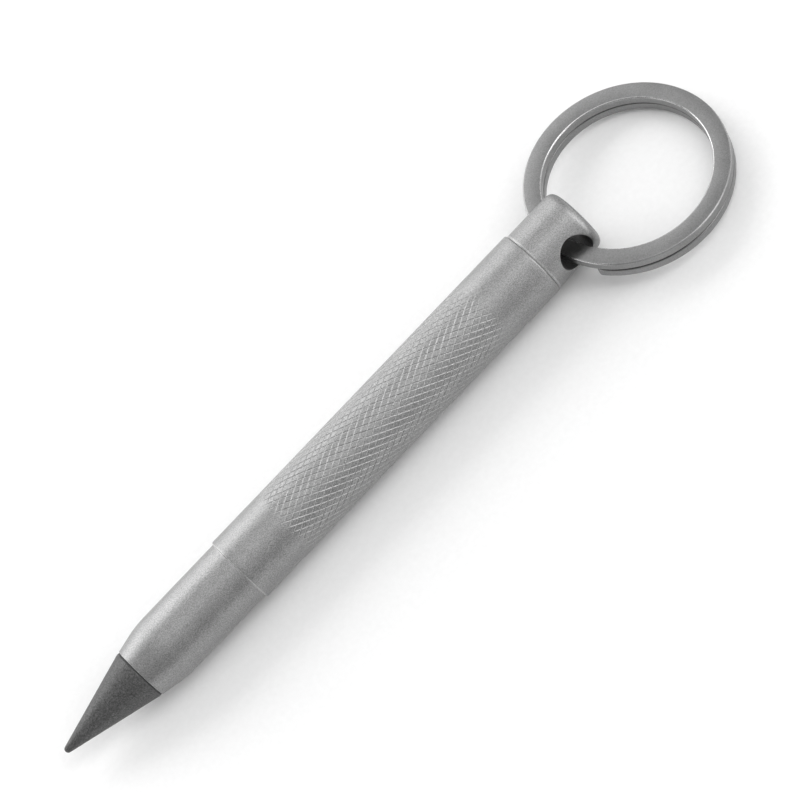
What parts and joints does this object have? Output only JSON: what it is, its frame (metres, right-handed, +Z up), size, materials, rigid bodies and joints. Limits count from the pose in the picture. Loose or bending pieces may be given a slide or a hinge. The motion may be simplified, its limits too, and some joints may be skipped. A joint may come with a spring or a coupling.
{
  "type": "pocket pencil",
  "caption": "Pocket pencil with a screw-in conical nib, a diamond-knurled tube barrel, a threaded nose and end cap, and a split ring through the cap's cross hole.",
  "frame": {"origin": "on the floor under the middle of the whole object's box, pencil lying on its barrel with its axis 0.37 mm to the +Y side, because the ring hangs a little to one side", "axes": "+X along the pencil from nib to split ring, +Z up from the floor, +Y completes a right-handed frame"},
  "size_m": [0.107, 0.0254, 0.009],
  "materials": {
    "blasted_titanium": "fine bead-blasted titanium, satin",
    "ring_titanium": "tumbled titanium, satin with brighter edges",
    "nib_alloy": "dark fine-grained alloy, dull sheen",
    "stud_steel": "turned steel",
    "seal_rubber": "dark grey rubber, matt"
  },
  "bodies": {
    "barrel": {"barrel": "blasted_titanium"},
    "nose_seal": {"nose_oring": "seal_rubber"},
    "nose": {"nose_section": "blasted_titanium"},
    "nib_seat": {"nib_washer": "seal_rubber"},
    "nib": {"nib_cone": "nib_alloy", "nib_stud": "stud_steel"},
    "cap_seal": {"cap_oring": "seal_rubber"},
    "cap": {"end_cap": "blasted_titanium"},
    "ring": {"split_ring": "ring_titanium"}
  },
  "joints": [
    {"name": "nose_slide", "type": "slide", "parent": "barrel", "child": "nose_seal", "axis": [-1, 0, 0], "range_m": [0, 0.0045]},
    {"name": "nose_turn", "type": "hinge", "parent": "nose_seal", "child": "nose", "pos_m": [-0.02425, 0.00037, 0.00449], "axis": [-1, 0, 0], "range_deg": [0, 2160]},
    {"name": "nib_slide", "type": "slide", "parent": "nose", "child": "nib_seat", "axis": [-1, 0, 0], "range_m": [0, 0.0056]},
    {"name": "nib_turn", "type": "hinge", "parent": "nib_seat", "child": "nib", "pos_m": [-0.041, 0.00037, 0.00449], "axis": [-1, 0, 0], "range_deg": [0, 2880]},
    {"name": "cap_slide", "type": "slide", "parent": "barrel", "child": "cap_seal", "axis": [1, 0, 0], "range_m": [0, 0.0045]},
    {"name": "cap_turn", "type": "hinge", "parent": "cap_seal", "child": "cap", "pos_m": [0.02558, 0.00037, 0.00449], "axis": [1, 0, 0], "range_deg": [0, 2160]},
    {"name": "ring_swing", "type": "hinge", "parent": "cap", "child": "ring", "pos_m": [0.02974, 0.00037, 0.00449], "axis": [0, -0.9877, 0.1564], "range_deg": [-155, 168]}
  ],
  "couplings": [
    {"joint": "nose_turn", "follows": "nose_slide", "rad_per_m": 8377.6},
    {"joint": "nib_turn", "follows": "nib_slide", "rad_per_m": 8976},
    {"joint": "cap_turn", "follows": "cap_slide", "rad_per_m": 8377.6}
  ]
}
